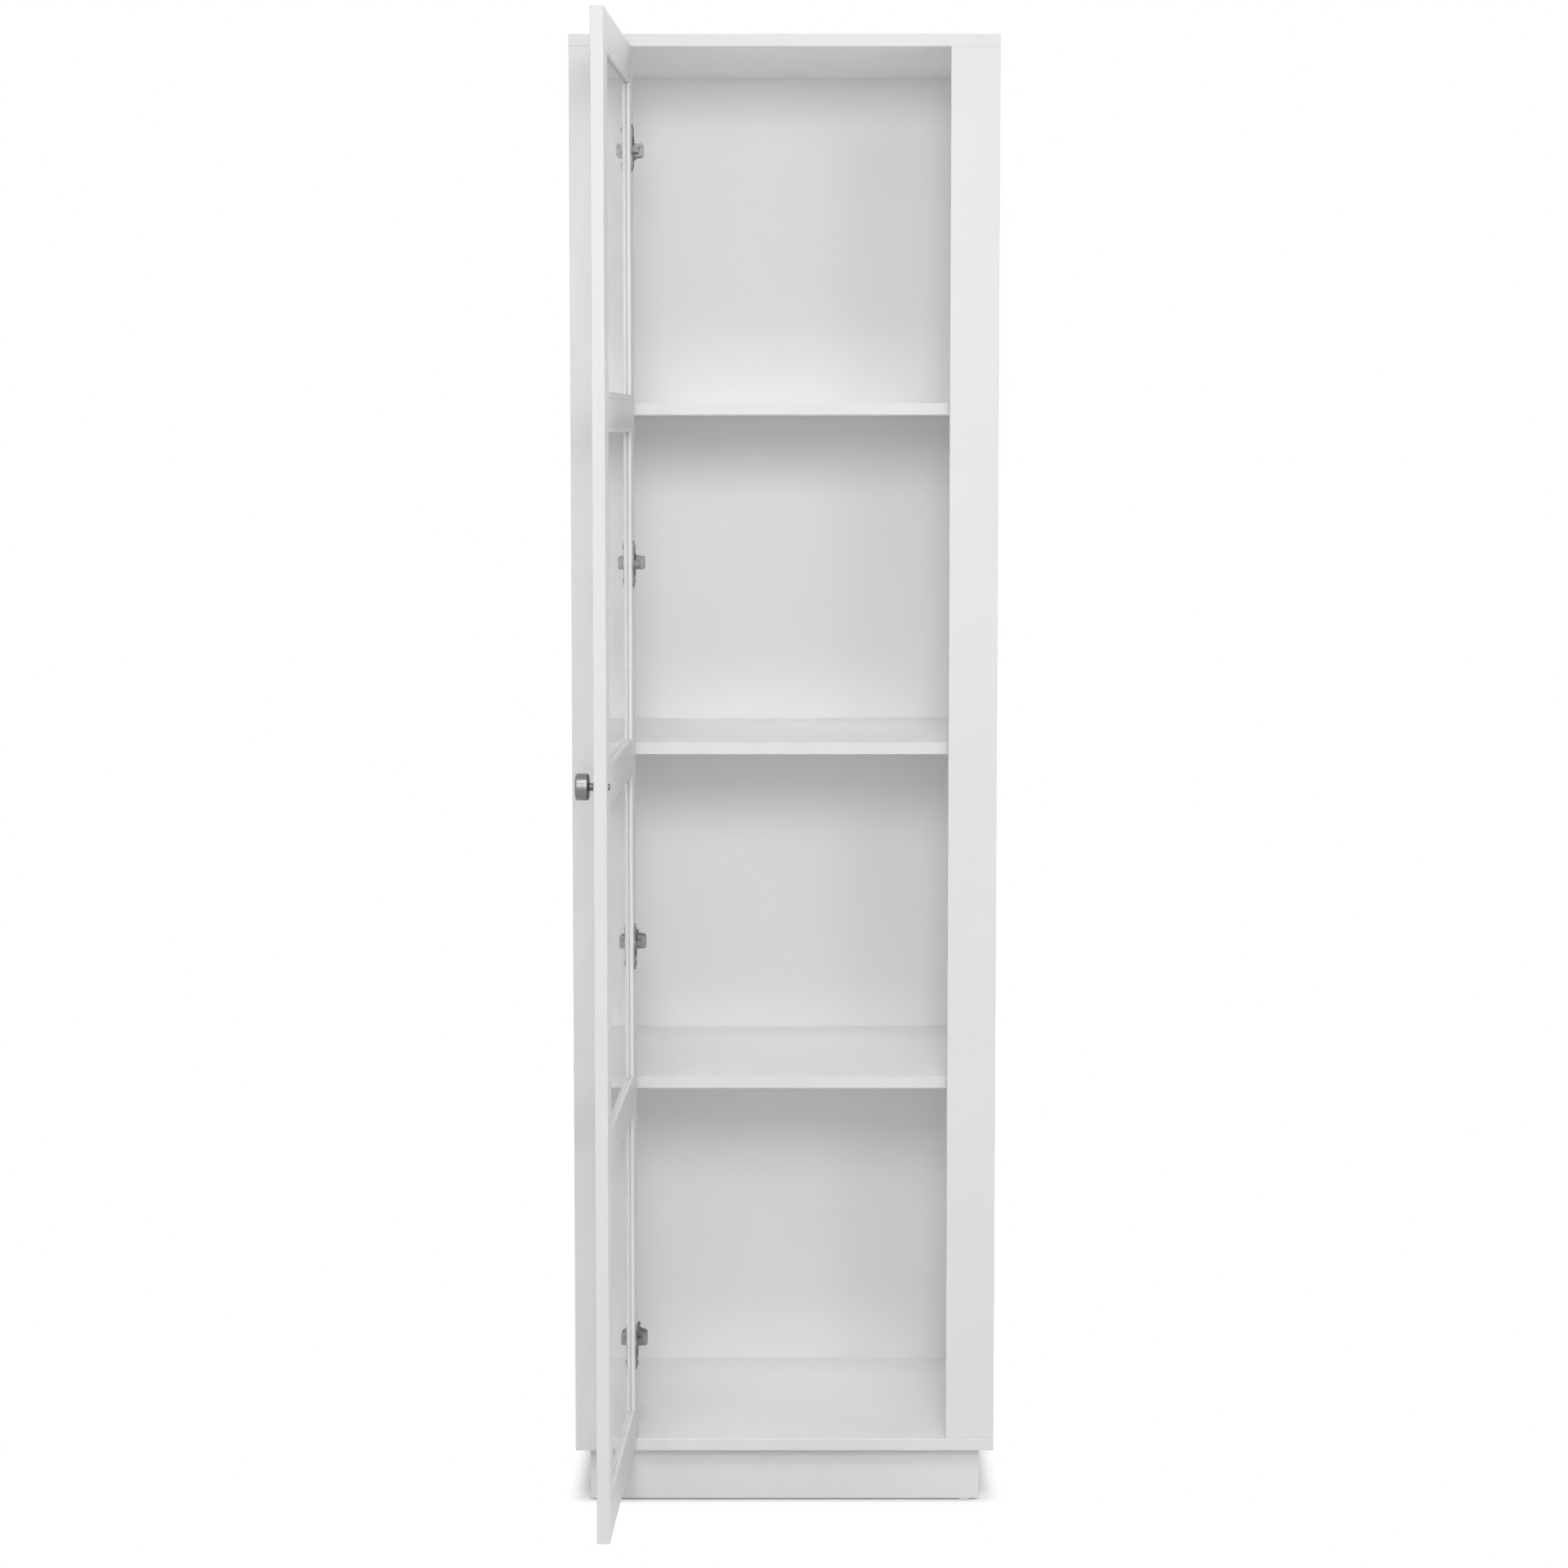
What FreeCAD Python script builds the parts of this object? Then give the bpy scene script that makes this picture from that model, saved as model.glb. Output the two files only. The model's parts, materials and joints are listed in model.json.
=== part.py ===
import FreeCAD, Part
import os
import re
import Sketcher

# A tall bookcase with one glazed door, hung at its left side and standing open.
# Frame: +X to the right seen from the front, +Y towards the back, +Z up, floor at Z 0.
# Every piece is drawn with the door shut and the front faces at Y 0. Its Placement then
# moves it back by frame_shift, and turns the door's pieces open about the hinge pins.

doc = FreeCAD.newDocument("Bookcase")
sheet = doc.addObject("Spreadsheet::Sheet", "Sizes")

sizes = {
    # carcass
    "overall_width": 574,
    "overall_height": 2000,
    "overall_depth": 400,
    "board": 16,                   # thickness of every panel, shelf and plinth board
    "stile_width": 65.5,           # the two wide posts beside the door
    "plinth_height": 77,           # floor to underside of the bottom panel
    "plinth_side_inset": 19,
    "plinth_front_inset": 20,
    "plinth_back_inset": 8,
    "corner_block": 30,
    "back_thickness": 3,
    "back_inset": 8,               # rear edges to the back panel's rear face
    "groove_depth": 8,
    "groove_play": 0.1,            # each side of the back panel
    "back_edge_play": 0.5,
    # shelves
    "shelf_front_inset": 20,
    "shelf_play": 1,               # each end and at the back
    "shelf_drop": 1.5,             # middle of the door's crossbar to the underside of the shelf behind it
    "pin_radius": 2.5,
    "pin_depth": 9,
    "pin_reach": 8,
    "pin_inset": 37,               # shelf edge to the row of holes
    "spare_pitch": 32,             # hole to hole in a row
    # joinery
    "dowel_radius": 4,
    "dowel_length": 30,
    "dowel_in_face": 11,           # how deep a dowel sits in a board's face
    "fit_play": 0.05,              # play of a dowel, pin or screw in its hole
    "joint_inset": 60,             # first fitting from the front or rear edge
    "dowel_step": 32,              # fitting to dowel
    "cam_radius": 7.5,
    "cam_depth": 12.5,
    "cam_inset": 24,               # centre of the cam from the panel's end
    "bolt_radius": 3,
    "stile_dowel_inset": 230,      # stile's end to the first dowel in its back
    "plinth_dowel_inset": 120,     # plinth board's end to its dowel
    # glides
    "glide_radius": 9.5,
    "glide_height": 3,
    "glide_inset": 20,             # plinth's end to the glide's centre
    "nail_radius": 1,
    "nail_length": 12,
    # door
    "gap_hinge": 3,
    "gap_knob": 2,
    "gap_top": 2,
    "gap_bottom": 2,
    "door_thickness": 16,
    "member_width": 50,
    "rebate_width": 8,
    "rebate_depth": 9.25,
    "glass_thickness": 4,
    "glass_play": 1,
    "edge_radius": 1,
    "door_dowel_radius": 3,
    "door_dowel_length": 30,
    "door_dowel_spacing": 20,
    "open_angle": 92,
    # hinges
    "hinge_end": 133,              # door's top or bottom to the nearest hinge
    "hinge_step": 552,             # that hinge to the next
    "pivot_edge": 7,               # door's hinge edge to the pin
    "pivot_depth": 6.7,            # door's outer face to the pin
    "hinge_pin_radius": 1.2,
    "hinge_play": 0.05,            # radial play of the arm on its pin
    "cup_radius": 17.5,
    "cup_bore_depth": 12.5,
    "cup_floor_play": 0.1,
    "cup_edge": 3.5,               # door's edge to the bore
    "cup_wall": 0.6,
    "cup_rim": 1.5,                # how far the round flange covers the wood
    "flange_thickness": 1.8,
    "flange_length": 62,
    "flange_width": 13,
    "flange_offset": 9.5,          # cup's centre to the screws' line
    "cup_screw_spacing": 45,
    "lug_inset": 1.4,              # pin's axis to the lug's near side
    "lug_length": 3.7,
    "lug_height": 4.7,
    "lug_end": 7.9,                # half the pin's length
    "eye_radius": 2.1,
    "nose_half": 4,                # half the nose's width along the pin
    "nose_thickness": 2,
    "nose_play": 0.3,              # nose to the lugs beside it
    "nose_reach": 13,              # pin to the upright part of the nose
    "nose_bar": 3.5,
    "arm_half": 9,
    "arm_side": 10.5,              # pin to the arm's near side
    "arm_width": 12,
    "arm_gap": 0.6,                # shut door's flange to the arm
    "arm_head": 15.6,              # length of the arm before it steps sideways
    "arm_step": 14,
    "arm_sheet": 8,
    "arm_corner": 3,
    "plate_thickness": 3,
    "plate_setback": 37,           # door's inner face to the plate's screws
    "plate_width": 16,
    "plate_length": 48,
    "plate_screw_spacing": 32,
    "rib_front": 13,               # plate's screws to the rib's front end
    "rib_rear": 21,                # plate's screws to the rib's rear end
    "rib_half": 8.5,
    "rib_height": 12.5,
    "block_margin": 8,             # rib's rear end to the hinge block's
    "block_length": 90,
    # knob
    "knob_radius": 16.5,
    "knob_thickness": 16.7,
    "knob_rounding": 2,
    "neck_radius": 5.2,
    "neck_length": 7.7,
    "knob_inset": 25,              # door's free edge to the knob's centre
    # screws
    "screw_radius": 1.75,
    "screw_length": 11,
    "plate_screw_radius": 2.5,
    "plate_screw_length": 14,
    "flat_head_radius": 3.8,
    "flat_head": 1.6,
    "machine_radius": 2,
    "machine_head_radius": 4.2,
    "machine_head": 2.4,
    "knob_thread": 6,              # screw's length inside the knob's head
}

for row, (name, value) in enumerate(sizes.items(), 1):
    sheet.set(f"A{row}", name)
    sheet.set(f"B{row}", str(value))
    sheet.setAlias(f"B{row}", name)
doc.recompute()

pane_names = ("bottom", "lower", "upper", "top")
holes_per_shelf = 5                # in each row, with the pin in the middle one
stile_dowels_each = 4              # in the back of each front stile

# Places worked out from the sizes. They are text, and formula() turns each into an expression.
places = {
    "half": "overall_width / 2",
    "inner_half": "half - board",
    "opening_half": "half - stile_width",
    "side_middle": "half - board / 2",
    "stile_middle": "half - stile_width / 2",
    "floor_top": "plinth_height + board",
    "ceiling": "overall_height - board",
    "back_rear": "overall_depth - back_inset",
    "back_front": "back_rear - back_thickness",
    "back_half": "inner_half + groove_depth - back_edge_play",
    "shelf_half": "inner_half - shelf_play",
    "shelf_back": "back_front - shelf_play",
    "middle_shelf_level": "door_middle - shelf_drop",      # underside
    "upper_shelf_level": "middle_shelf_level + pane_step",
    "lower_shelf_level": "middle_shelf_level - pane_step",
    "front_pins": "shelf_front_inset + pin_inset",
    "rear_pins": "shelf_back - pin_inset",
    "rear_joint": "overall_depth - joint_inset",
    "dowel_in_end": "dowel_length - dowel_in_face",
    "plinth_half": "half - plinth_side_inset",
    "plinth_inner": "plinth_half - board",
    "plinth_rear": "overall_depth - plinth_back_inset",
    # door, shut
    "door_left": "gap_hinge - opening_half",
    "door_right": "opening_half - gap_knob",
    "door_bottom": "floor_top + gap_bottom",
    "door_top": "ceiling - gap_top",
    "door_middle": "(door_bottom + door_top) / 2",
    "pane_left": "door_left + member_width",
    "pane_right": "door_right - member_width",
    "rebate_left": "pane_left - rebate_width",
    "rebate_right": "pane_right + rebate_width",
    "pane_height": f"(door_top - door_bottom - member_width) / {len(pane_names)} - member_width",
    "pane_step": "pane_height + member_width",
    "shoulder": "door_thickness - rebate_depth",
    "bead_front": "shoulder + glass_thickness",
    "tenon": "(door_dowel_length + rebate_width) / 2",
    # hinges
    "pin_x": "door_left + pivot_edge",
    "pin_y": "pivot_depth",
    "cup_x": "door_left + cup_edge + cup_radius",
    "cup_front": "door_thickness - cup_bore_depth + cup_floor_play",
    "cup_outer": "cup_radius - fit_play",
    "cup_floor": "cup_front + cup_wall",
    "flange_x": "cup_x + flange_offset",
    "flange_top": "door_thickness + flange_thickness",
    "flange_end": "(flange_length - flange_width) / 2",
    "arm_front": "flange_top + arm_gap",
    "arm_near": "pin_x + arm_side",
    "crank": "arm_front + arm_head",
    "plate_line": "door_thickness + plate_setback",
    "rib_end": "plate_line + rib_rear",
    "seat": "rib_height - opening_half",
    "arm_top": "seat + arm_sheet",
    "arm_screw_line": "rib_end - arm_half",
    "knob_x": "door_right - knob_inset",
    # the open door's free corner and the back set the middle of the whole
    "turn": "open_angle * 1deg",
    "far_side": "(door_right - pin_x) * sin(turn)",
    "far_face": "(door_thickness - pin_y) * cos(turn)",
    "frame_shift": "(far_side - far_face - pin_y - overall_depth) / 2",
}


def formula(text):
    # sheet names become cells, place names become their own formula in brackets
    def expand(match):
        word = match.group()
        if word in sizes:
            return "Sizes." + word
        if word in places:
            return "(" + formula(places[word]) + ")"
        return word
    return re.sub(r"[a-z][a-z_]*", expand, str(text))


def bind(thing, **formulas):
    for name, text in formulas.items():
        thing.setExpression(name.replace("__", "."), formula(text))


def put(feature, corner):
    bind(feature, Placement__Base__x=corner[0], Placement__Base__y=corner[1], Placement__Base__z=corner[2])


turns = {
    "+x": FreeCAD.Rotation(FreeCAD.Vector(0, 1, 0), 90),
    "-x": FreeCAD.Rotation(FreeCAD.Vector(0, 1, 0), -90),
    "+y": FreeCAD.Rotation(FreeCAD.Vector(1, 0, 0), -90),
    "-y": FreeCAD.Rotation(FreeCAD.Vector(1, 0, 0), 90),
    "+z": FreeCAD.Rotation(),
    "-z": FreeCAD.Rotation(FreeCAD.Vector(1, 0, 0), 180),
}
opposite = {"+x": "-x", "-x": "+x", "+y": "-y", "-y": "+y", "+z": "-z", "-z": "+z"}


def piece(label):
    body = doc.addObject("PartDesign::Body", label)
    body.Label = label
    return body


def block(body, low, high, kind="Additive"):
    # a square-edged block between two corners, added to a body or cut from it
    feature = body.newObject(f"PartDesign::{kind}Box", f"{kind}Block")
    for name, start, end in zip(("Length", "Width", "Height"), low, high):
        feature.setExpression(name, formula(f"({end}) - ({start})"))
    put(feature, low)


def bar(body, start, towards, radius, length, kind="Additive"):
    # a round bar from a point towards one axis
    feature = body.newObject(f"PartDesign::{kind}Cylinder", f"{kind}Round")
    feature.Placement = FreeCAD.Placement(FreeCAD.Vector(), turns[towards])
    bind(feature, Radius=radius, Height=length)
    put(feature, start)
    return feature


def hole(body, start, towards, radius, depth):
    # a round hole that gives a bar of this radius and length its play
    return bar(body, start, towards, f"{radius} + fit_play", f"{depth} + fit_play", "Subtractive")


def pad(body, points, start, length):
    # an outline in X and Y, pulled up in Z from the height start
    sketch = body.newObject("Sketcher::SketchObject", "Outline")
    plane = [one for one in body.Origin.OriginFeatures if one.Role == "XY_Plane"][0]
    sketch.AttachmentSupport = [(plane, "")]
    sketch.MapMode = "FlatFace"
    bind(sketch, AttachmentOffset__Base__z=start)
    count = len(points)
    rough = [FreeCAD.Vector(10 * i, i * (count - 1 - i), 0) for i in range(count)]
    for i in range(count):
        sketch.addGeometry(Part.LineSegment(rough[i], rough[(i + 1) % count]), False)
    for i in range(count):
        sketch.addConstraint(Sketcher.Constraint("Coincident", i, 2, (i + 1) % count, 1))
    for i, point in enumerate(points):
        for name, text, value in zip(("DistanceX", "DistanceY"), point, rough[i]):
            number = sketch.addConstraint(Sketcher.Constraint(name, -1, 1, i, 1, value))
            sketch.setExpression(f"Constraints[{number}]", formula(text))
    feature = body.newObject("PartDesign::Pad", "Pad")
    feature.Profile = sketch
    bind(feature, Length=length)


def round_edges(body, radius, wanted):
    # rounds the edges of the body so far that the test picks
    doc.recompute()
    tip = body.Tip
    names = [f"Edge{i}" for i, edge in enumerate(tip.Shape.Edges, 1) if wanted(edge)]
    feature = body.newObject("PartDesign::Fillet", "Rounding")
    feature.Base = (tip, names)
    bind(feature, Radius=radius)


def repeat_up(body, feature, pitch, count):
    pattern = body.newObject("PartDesign::LinearPattern", "Row")
    pattern.Originals = [feature]
    line = [one for one in body.Origin.OriginFeatures if one.Role == "Z_Axis"][0]
    pattern.Direction = (line, [""])
    pattern.Occurrences = count
    bind(pattern, Length=f"({pitch}) * {count - 1}")
    body.Tip = pattern


def rod(label, start, towards, radius, length):
    body = piece(label)
    bar(body, start, towards, radius, length)
    return body


def screw(label, seat_point, towards, radius, length, head_radius, head):
    # the head stands on its seat, and the shank goes on past it
    body = rod(label, seat_point, towards, radius, length)
    bar(body, seat_point, opposite[towards], head_radius, head)
    return body


def group(label, members):
    # identical small parts share one node, each still a solid of its own
    joined = doc.addObject("Part::Compound", label)
    joined.Label = label
    joined.Links = members
    return joined


finished = []


def stand(part):
    bind(part, Placement__Base__y="frame_shift")
    finished.append(part)


def hang(part):
    # turned open about the hinge pins
    quarter_turn = FreeCAD.Rotation(FreeCAD.Vector(0, 0, 1), -90)
    part.Placement = FreeCAD.Placement(FreeCAD.Vector(), quarter_turn)
    bind(part, Placement__Rotation__Angle="-turn",
         Placement__Base__x="pin_x - cos(turn) * pin_x - sin(turn) * pin_y",
         Placement__Base__y="pin_y + sin(turn) * pin_x - cos(turn) * pin_y + frame_shift")
    finished.append(part)


def span(side, near, far):
    # low and high X of what lies between two distances from the middle, on one side
    return (f"-({far})", f"-({near})") if side < 0 else (f"{near}", f"{far}")


sides = {"left": -1, "right": 1}
outward = {-1: "-x", 1: "+x"}
shelf_levels = {"upper": "upper_shelf_level", "middle": "middle_shelf_level", "lower": "lower_shelf_level"}
# each end of the sides: its height, the way into the side and the way into the panel
ends = (("floor_top", "+z", "-z"), ("ceiling", "-z", "+z"))
# each corner's cam and dowel, from the front
joints = (("joint_inset", "joint_inset + dowel_step"), ("rear_joint", "rear_joint - dowel_step"))
stile_step = f"(ceiling - floor_top - 2 * stile_dowel_inset) / {stile_dowels_each - 1}"
stile_dowel_levels = [f"floor_top + stile_dowel_inset + {i} * {stile_step}" for i in range(stile_dowels_each)]


# ---- side panels ----

def side_panel(name, side):
    body = piece(f"side_panel_{name}")
    low, high = span(side, "inner_half", "half")
    block(body, (low, "board", "floor_top"), (high, "overall_depth", "ceiling"))
    low, high = span(side, "inner_half", "inner_half + groove_depth")
    block(body, (low, "back_front - groove_play", "floor_top"),
          (high, "back_rear + groove_play", "ceiling"), "Subtractive")
    face = f"{side} * inner_half"
    middle = f"{side} * side_middle"
    for level in shelf_levels.values():
        for row in ("front_pins", "rear_pins"):
            lowest = f"{level} - pin_radius - {holes_per_shelf // 2} * spare_pitch"
            pin_hole = hole(body, (face, row, lowest), outward[side], "pin_radius", "pin_depth")
            repeat_up(body, pin_hole, "spare_pitch", holes_per_shelf)
    for end, into, _ in ends:
        for cam_y, dowel_y in joints:
            cam_level = f"{end} {into[0]} cam_inset"
            hole(body, (face, cam_y, cam_level), outward[side], "cam_radius", "cam_depth")
            hole(body, (middle, cam_y, end), into, "bolt_radius", "cam_inset")
            hole(body, (middle, dowel_y, end), into, "dowel_radius", "dowel_in_end")
    for level in stile_dowel_levels:
        hole(body, (middle, "board", level), "+y", "dowel_radius", "dowel_in_end")
    return body


for name, side in sides.items():
    stand(side_panel(name, side))


# ---- top and bottom panels, across the full width ----

def end_panel(label, low, high, face, into):
    body = piece(label)
    block(body, ("-half", "0", low), ("half", "overall_depth", high))
    groove_end = f"{face} {into[0]} groove_depth"
    groove_low, groove_high = (face, groove_end) if into == "+z" else (groove_end, face)
    block(body, ("-inner_half - groove_depth", "back_front - groove_play", groove_low),
          ("inner_half + groove_depth", "back_rear + groove_play", groove_high), "Subtractive")
    for side in sides.values():
        for cam_y, dowel_y in joints:
            hole(body, (f"{side} * side_middle", cam_y, face), into, "bolt_radius", "dowel_in_face")
            hole(body, (f"{side} * side_middle", dowel_y, face), into, "dowel_radius", "dowel_in_face")
        hole(body, (f"{side} * stile_middle", "board / 2", face), into, "dowel_radius", "dowel_in_face")
    return body


stand(end_panel("top_panel", "ceiling", "overall_height", "ceiling", "+z"))


cross_starts = {"front": "plinth_front_inset", "back": "plinth_rear - board"}


def cross_dowels(start):
    return [(f"{side} * (plinth_half - plinth_dowel_inset)", f"{start} + board / 2") for side in (-1, 1)]


def side_dowels(side):
    middle = f"{side} * (plinth_half - board / 2)"
    return [(middle, "plinth_front_inset + plinth_dowel_inset"), (middle, "plinth_rear - plinth_dowel_inset")]


plinth_dowel_places = [place for start in cross_starts.values() for place in cross_dowels(start)]
plinth_dowel_places += [place for side in sides.values() for place in side_dowels(side)]

bottom_panel = end_panel("bottom_panel", "plinth_height", "floor_top", "floor_top", "-z")
for x, y in plinth_dowel_places:
    hole(bottom_panel, (x, y, "plinth_height"), "+z", "dowel_radius", "dowel_in_face")
stand(bottom_panel)


# ---- front stiles ----

def front_stile(name, side):
    body = piece(f"front_stile_{name}")
    low, high = span(side, "opening_half", "half")
    block(body, (low, "0", "floor_top"), (high, "board", "ceiling"))
    for end, into, _ in ends:
        hole(body, (f"{side} * stile_middle", "board / 2", end), into, "dowel_radius", "dowel_in_end")
    for level in stile_dowel_levels:
        hole(body, (f"{side} * side_middle", "board", level), "-y", "dowel_radius", "dowel_in_face")
    return body


for name, side in sides.items():
    stand(front_stile(name, side))


# ---- back panel, in grooves on all four sides ----

back = piece("back_panel")
block(back, ("-back_half", "back_front", "floor_top - groove_depth + back_edge_play"),
      ("back_half", "back_rear", "ceiling + groove_depth - back_edge_play"))
stand(back)


# ---- shelves and their pins ----

pins = []
for name, level in shelf_levels.items():
    shelf = piece(f"shelf_{name}")
    block(shelf, ("-shelf_half", "shelf_front_inset", level),
          ("shelf_half", "shelf_back", f"{level} + board"))
    stand(shelf)
    for side in sides.values():
        for row in ("front_pins", "rear_pins"):
            start = (f"{side} * inner_half", row, f"{level} - pin_radius")
            pin = rod(f"shelf_pin_{len(pins)}", start, outward[side], "pin_radius", "pin_depth")
            bar(pin, start, opposite[outward[side]], "pin_radius", "pin_reach")
            pins.append(pin)
stand(group("shelf_pins", pins))


# ---- dowels, cams and cam bolts that hold the carcass together ----

def dowel(label, x, y, end, into_panel):
    # across a joint: its short part in the panel's face, the rest in the end of the upright
    start = f"{end} {into_panel[0]} dowel_in_face"
    return rod(label, (x, y, start), opposite[into_panel], "dowel_radius", "dowel_length")


carcass_dowels = []
stile_dowels = []
cams = []
bolts = []
for side in sides.values():
    middle = f"{side} * side_middle"
    for end, into, into_panel in ends:
        for cam_y, dowel_y in joints:
            number = len(cams)
            carcass_dowels.append(dowel(f"carcass_dowel_{number}", middle, dowel_y, end, into_panel))
            cam_place = (f"{side} * inner_half", cam_y, f"{end} {into[0]} cam_inset")
            cam = rod(f"cam_{number}", cam_place, outward[side], "cam_radius", "cam_depth")
            hole(cam, (middle, cam_y, end), into, "bolt_radius", "cam_inset")
            cams.append(cam)
            start = (middle, cam_y, f"{end} {into_panel[0]} dowel_in_face")
            bolts.append(rod(f"cam_bolt_{number}", start, into, "bolt_radius", "dowel_in_face + cam_inset"))
        label = f"stile_end_dowel_{len(stile_dowels)}"
        stile_dowels.append(dowel(label, f"{side} * stile_middle", "board / 2", end, into_panel))
    for level in stile_dowel_levels:
        label = f"stile_back_dowel_{len(stile_dowels)}"
        start = (middle, "board - dowel_in_face", level)
        stile_dowels.append(rod(label, start, "+y", "dowel_radius", "dowel_length"))
stand(group("carcass_dowels", carcass_dowels))
stand(group("cam_housings", cams))
stand(group("cam_bolts", bolts))
stand(group("stile_dowels", stile_dowels))


# ---- plinth on four glides ----

def plinth_board(label, low, high):
    body = piece(label)
    block(body, (*low, "glide_height"), (*high, "plinth_height"))
    return body


def stand_on_plinth(body, dowel_places):
    for x, y in dowel_places:
        hole(body, (x, y, "plinth_height"), "-z", "dowel_radius", "dowel_in_end")
    stand(body)


glides = []
for name, start in cross_starts.items():
    line = f"{start} + board / 2"
    end = f"{start} + board"
    cross_board = plinth_board(f"plinth_{name}", ("-plinth_half", start), ("plinth_half", end))
    for side in sides.values():
        x = f"{side} * (plinth_half - glide_inset)"
        hole(cross_board, (x, line, "glide_height"), "+z", "nail_radius", "nail_length")
        glide = rod(f"foot_glide_{len(glides)}", (x, line, "0"), "+z", "glide_radius", "glide_height")
        bar(glide, (x, line, "0"), "+z", "nail_radius", "glide_height + nail_length")
        glides.append(glide)
    stand_on_plinth(cross_board, cross_dowels(start))

corner_blocks = []
for name, side in sides.items():
    low, high = span(side, "plinth_inner", "plinth_half")
    side_board = plinth_board(f"plinth_side_{name}", (low, "plinth_front_inset + board"),
                              (high, "plinth_rear - board"))
    stand_on_plinth(side_board, side_dowels(side))
    low, high = span(side, "plinth_inner - corner_block", "plinth_inner")
    for start in ("plinth_front_inset + board", "plinth_rear - board - corner_block"):
        corner_blocks.append(plinth_board(f"corner_block_{len(corner_blocks)}", (low, start),
                                          (high, f"{start} + corner_block")))
stand(group("plinth_corner_blocks", corner_blocks))
stand(group("plinth_dowels", [dowel(f"plinth_dowel_{i}", x, y, "plinth_height", "+z")
                              for i, (x, y) in enumerate(plinth_dowel_places)]))
stand(group("foot_glides", glides))


# ---- hinges: the half on the carcass ----

hinge_levels = ("door_top - hinge_end", "door_top - hinge_end - hinge_step",
                "door_bottom + hinge_end + hinge_step", "door_bottom + hinge_end")


def both(level, spacing):
    # two heights, half the spacing below and above a level
    return [f"{level} {sign} {spacing} / 2" for sign in ("-", "+")]


def hinge_arm(label, level):
    # a goose-neck that reaches into the cup round the door's edge
    body = piece(label)
    near, far = "pin_x + nose_reach", "pin_x + nose_reach + nose_bar"
    low, high = "pin_y - nose_thickness / 2", "pin_y + nose_thickness / 2"
    root = "arm_front + nose_bar"
    pad(body, [("pin_x", low), (far, low), (far, root), (near, root), (near, high), ("pin_x", high)],
        f"{level} - nose_half", "2 * nose_half")
    eye = ("pin_x", "pin_y", f"{level} - nose_half")
    bar(body, eye, "+z", "eye_radius", "2 * nose_half")
    wide = "arm_near + arm_width"
    pad(body, [("arm_near", "arm_front"), (wide, "arm_front"), (wide, "crank"),
               ("arm_top", "crank + arm_step"), ("arm_top", "rib_end"), ("seat", "rib_end"),
               ("seat", "crank + arm_step - arm_sheet"), ("arm_near", "crank")],
        f"{level} - arm_half", "2 * arm_half")
    bar(body, eye, "+z", "hinge_pin_radius + hinge_play", "2 * nose_half", "Subtractive")
    hole(body, ("seat", "arm_screw_line", level), "+x", "machine_radius", "arm_sheet")
    doc.recompute()
    widest = max(point.X for point in body.Shape.Vertexes)

    def outer_long_edge(edge):
        first, last = edge.Vertexes[0], edge.Vertexes[-1]
        level_edge = abs(first.Z - last.Z) < 0.01 < abs(first.Y - last.Y)
        return level_edge and abs(first.X + last.X - 2 * widest) < 0.01
    round_edges(body, "arm_corner", outer_long_edge)
    return body


def mounting_plate(label, level):
    body = piece(label)
    face = "-opening_half"
    half_width = "plate_width / 2"
    block(body, (face, f"plate_line - {half_width}", f"{level} - plate_length / 2"),
          (f"{face} + plate_thickness", f"plate_line + {half_width}", f"{level} + plate_length / 2"))
    block(body, (face, "plate_line - rib_front", f"{level} - rib_half"),
          ("seat", "rib_end", f"{level} + rib_half"))
    for height in both(level, "plate_screw_spacing"):
        hole(body, (face, "plate_line", height), "+x", "plate_screw_radius", "plate_thickness")
    hole(body, (face, "arm_screw_line", level), "+x", "machine_radius", "rib_height")
    return body


def hinge_block(label, level):
    body = piece(label)
    low, high = span(-1, "opening_half", "inner_half")
    block(body, (low, "board", f"{level} - block_length / 2"),
          (high, "rib_end + block_margin", f"{level} + block_length / 2"))
    for height in both(level, "plate_screw_spacing"):
        hole(body, (high, "plate_line", height), "-x", "plate_screw_radius", "plate_screw_length")
    return body


arms = []
plates = []
hinge_blocks = []
plate_screws = []
arm_screws = []
for i, level in enumerate(hinge_levels):
    arms.append(hinge_arm(f"hinge_arm_{i}", level))
    plates.append(mounting_plate(f"mounting_plate_{i}", level))
    hinge_blocks.append(hinge_block(f"hinge_block_{i}", level))
    for height in both(level, "plate_screw_spacing"):
        place = ("plate_thickness - opening_half", "plate_line", height)
        plate_screws.append(screw(f"plate_screw_{len(plate_screws)}", place, "-x", "plate_screw_radius",
                                  "plate_thickness + plate_screw_length", "flat_head_radius", "flat_head"))
    arm_screws.append(screw(f"arm_screw_{i}", ("arm_top", "arm_screw_line", level), "-x", "machine_radius",
                            "arm_sheet + rib_height - plate_thickness", "machine_head_radius", "flat_head"))
stand(group("hinge_blocks", hinge_blocks))
stand(group("hinge_mounting_plates", plates))
stand(group("hinge_arms", arms))
stand(group("plate_screws", plate_screws))
stand(group("arm_screws", arm_screws))


# ---- door frame: two stiles, two rails and three crossbars ----

member_names = ("door_rail_bottom", "door_crossbar_lower", "door_crossbar_middle", "door_crossbar_upper",
                "door_rail_top")
member_levels = [f"door_bottom + {i} * pane_step" for i in range(len(member_names))]


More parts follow.
